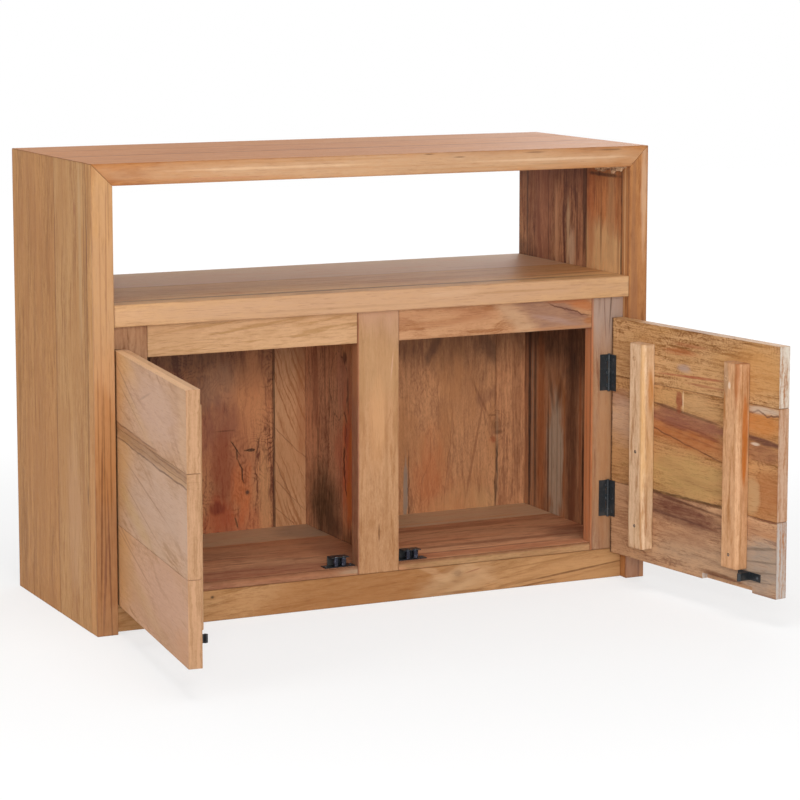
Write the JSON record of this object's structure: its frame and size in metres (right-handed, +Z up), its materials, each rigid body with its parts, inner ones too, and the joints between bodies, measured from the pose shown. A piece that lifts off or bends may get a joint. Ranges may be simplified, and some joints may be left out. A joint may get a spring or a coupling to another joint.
{
  "type": "television stand",
  "caption": "Solid teak television stand with a mitred case, an open niche above, and hinged cupboard doors held shut by roller catches.",
  "frame": {"origin": "on the floor under the middle of the case, at the middle of its width and depth", "axes": "+X across the front from left to right, +Y from the front to the back, +Z up; the doors stand open towards -Y"},
  "size_m": [0.8216, 0.6529, 0.6],
  "materials": {
    "honey_teak": "solid reclaimed teak, sanded and waxed, satin",
    "pale_teak": "solid reclaimed teak, pale boards, sanded and waxed",
    "rosy_teak": "solid reclaimed teak, greyish rosy boards, sanded and waxed",
    "door_teak": "solid reclaimed teak, sanded and waxed, with dark figure",
    "batten_teak": "solid teak batten, sanded, chamfered",
    "dark_teak": "solid reclaimed teak, dark inner boards, sanded",
    "black_steel": "black painted steel, satin",
    "pin_steel": "blackened steel, satin",
    "roller_grey": "dark grey steel roller, satin"
  },
  "bodies": {
    "case": {"top_board_1": "honey_teak", "top_board_2": "honey_teak", "top_board_3": "honey_teak", "left_side_edging": "pale_teak", "left_side_board_1": "honey_teak", "left_side_board_2": "honey_teak", "right_side_edging": "pale_teak", "right_side_board_1": "honey_teak", "right_side_board_2": "honey_teak", "shelf_edging": "pale_teak", "shelf_board_1": "rosy_teak", "shelf_board_2": "rosy_teak", "left_stile": "rosy_teak", "centre_stile": "honey_teak", "right_stile": "rosy_teak", "left_top_rail": "pale_teak", "right_top_rail": "pale_teak", "bottom_rail": "pale_teak", "floor_board_1": "dark_teak", "floor_board_2": "dark_teak", "bottom_back_rail": "dark_teak", "centre_bearer": "dark_teak", "divider_board_1": "dark_teak", "divider_board_2": "dark_teak", "back_plank_1": "dark_teak", "back_plank_2": "dark_teak", "back_plank_3": "dark_teak", "back_plank_4": "dark_teak", "back_plank_5": "dark_teak", "left_upper_hinge_frame_leaf": "black_steel", "left_upper_hinge_pin": "pin_steel", "left_lower_hinge_frame_leaf": "black_steel", "left_lower_hinge_pin": "pin_steel", "left_catch_bracket": "black_steel", "right_upper_hinge_frame_leaf": "black_steel", "right_upper_hinge_pin": "pin_steel", "right_lower_hinge_frame_leaf": "black_steel", "right_lower_hinge_pin": "pin_steel", "right_catch_bracket": "black_steel"},
    "left_door": {"left_door_board_1": "door_teak", "left_door_board_2": "door_teak", "left_door_board_3": "door_teak", "left_door_hinge_batten": "batten_teak", "left_door_catch_batten": "batten_teak", "left_upper_hinge_door_leaf": "black_steel", "left_lower_hinge_door_leaf": "black_steel", "left_door_strike": "black_steel"},
    "right_door": {"right_door_board_1": "door_teak", "right_door_board_2": "door_teak", "right_door_board_3": "door_teak", "right_door_hinge_batten": "batten_teak", "right_door_catch_batten": "batten_teak", "right_upper_hinge_door_leaf": "black_steel", "right_lower_hinge_door_leaf": "black_steel", "right_door_strike": "black_steel"},
    "left_inner_roller": {"left_catch_inner_roller": "roller_grey"},
    "left_outer_roller": {"left_catch_outer_roller": "roller_grey"},
    "right_inner_roller": {"right_catch_inner_roller": "roller_grey"},
    "right_outer_roller": {"right_catch_outer_roller": "roller_grey"}
  },
  "joints": [
    {"name": "left_door_hinge", "type": "hinge", "parent": "case", "child": "left_door", "pos_m": [-0.349, -0.1476, 0.201], "axis": [0, 0, -1], "range_deg": [-96, 6]},
    {"name": "right_door_hinge", "type": "hinge", "parent": "case", "child": "right_door", "pos_m": [0.349, -0.1476, 0.201], "axis": [0, 0, 1], "range_deg": [-98, 4]},
    {"name": "left_inner_roller_slide", "type": "slide", "parent": "case", "child": "left_inner_roller", "axis": [1, 0, 0], "range_m": [0, 0.003], "stiffness_N_per_m": 1000, "springref_m": -0.001},
    {"name": "left_outer_roller_slide", "type": "slide", "parent": "case", "child": "left_outer_roller", "axis": [-1, 0, 0], "range_m": [0, 0.003], "stiffness_N_per_m": 1000, "springref_m": -0.001},
    {"name": "right_inner_roller_slide", "type": "slide", "parent": "case", "child": "right_inner_roller", "axis": [-1, 0, 0], "range_m": [0, 0.003], "stiffness_N_per_m": 1000, "springref_m": -0.001},
    {"name": "right_outer_roller_slide", "type": "slide", "parent": "case", "child": "right_outer_roller", "axis": [1, 0, 0], "range_m": [0, 0.003], "stiffness_N_per_m": 1000, "springref_m": -0.001}
  ]
}
